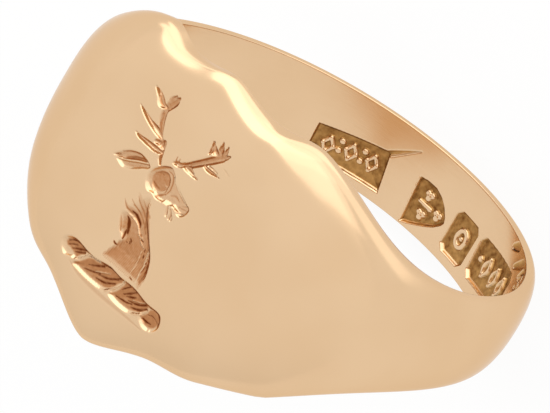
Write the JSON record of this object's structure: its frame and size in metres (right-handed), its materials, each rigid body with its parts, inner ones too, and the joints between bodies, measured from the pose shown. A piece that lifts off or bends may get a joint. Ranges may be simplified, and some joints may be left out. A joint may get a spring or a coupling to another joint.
{
  "type": "signet ring",
  "caption": "Signet ring with a flat table engraved with a stag's head crest, notched long edges, wide tapering shoulders and a narrow D-section shank with struck marks inside.",
  "frame": {"origin": "centre of the finger hole, on the shank's middle plane; the table's upper middle edge is 6.2 mm from it and its lower one 6.7 mm", "axes": "+Z out through the middle of the flat table, +Y along the finger with the crest upright, +X across the finger"},
  "size_m": [0.0206, 0.0129, 0.0208],
  "materials": {
    "rose_gold": "polished",
    "gold_solder": "polished"
  },
  "bodies": {
    "root": {"signet_head": "rose_gold", "shank": "rose_gold", "solder_seam_left": "gold_solder", "solder_seam_right": "gold_solder"}
  },
  "joints": []
}
